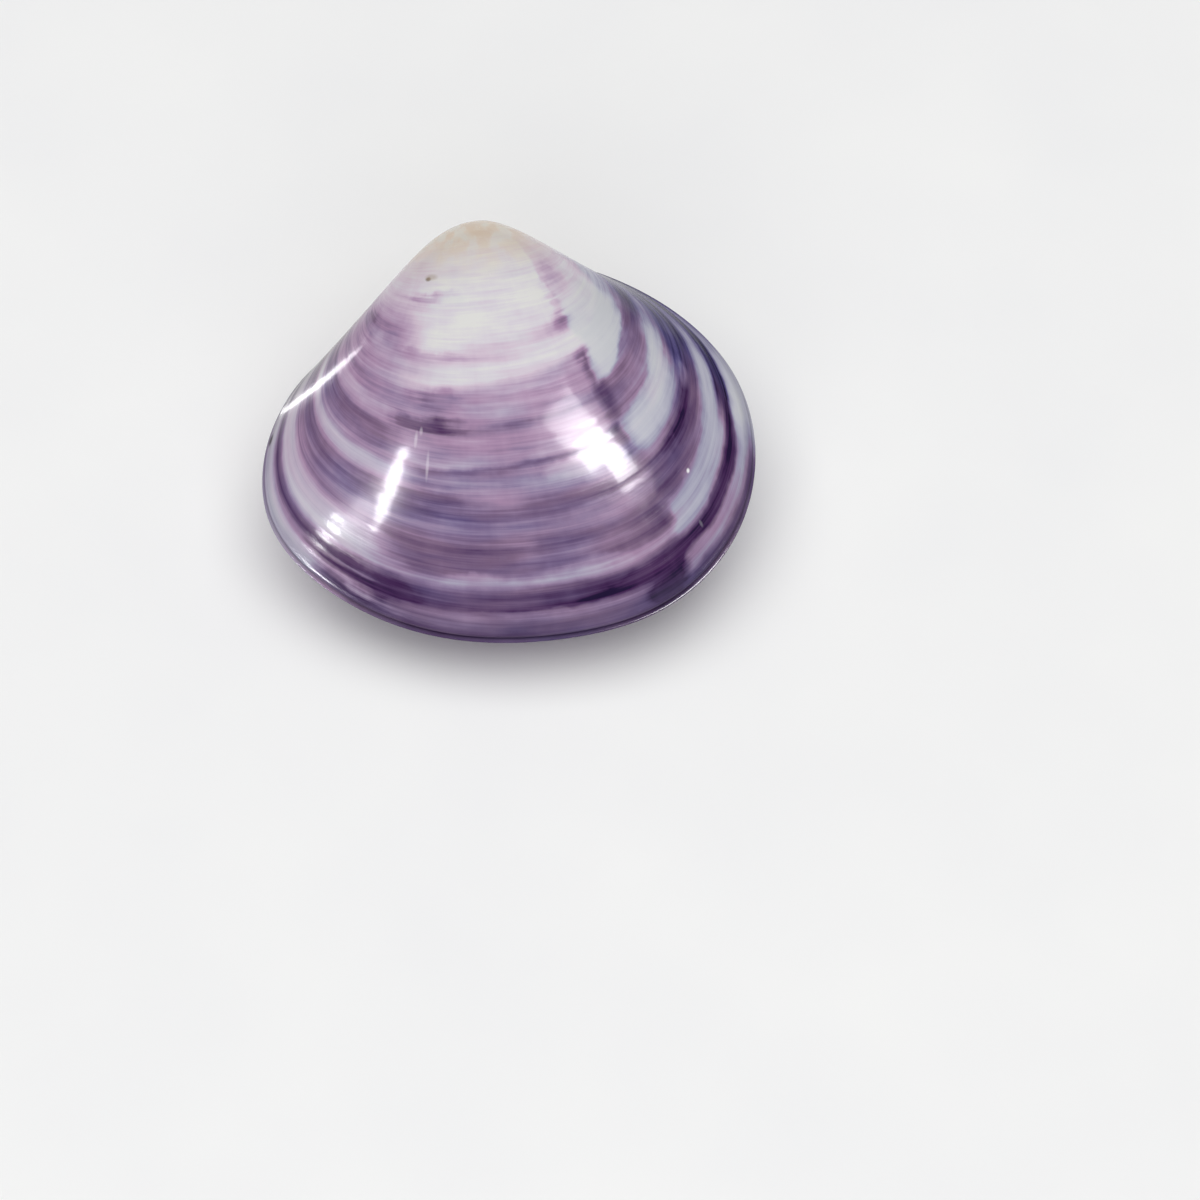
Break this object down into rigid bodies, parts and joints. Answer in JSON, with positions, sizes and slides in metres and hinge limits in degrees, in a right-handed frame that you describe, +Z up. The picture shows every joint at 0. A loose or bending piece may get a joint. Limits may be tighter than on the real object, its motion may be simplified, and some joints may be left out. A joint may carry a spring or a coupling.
{
  "type": "closed violet clam shell pair",
  "caption": "Closed polished violet clam shell: two domed valves with prominent beaks, held together by a short ligament.",
  "frame": {"origin": "centre of the bounding box at floor level, under the lower valve's belly", "axes": "+X towards the hind end along the shell's length, +Y towards the hinge and beaks, +Z up"},
  "size_m": [0.0692, 0.0614, 0.0333],
  "materials": {
    "shell": "polished",
    "ligament": "dry horn, satin"
  },
  "bodies": {
    "root": {"left_valve": "shell", "right_valve": "shell", "ligament": "ligament"}
  },
  "joints": []
}
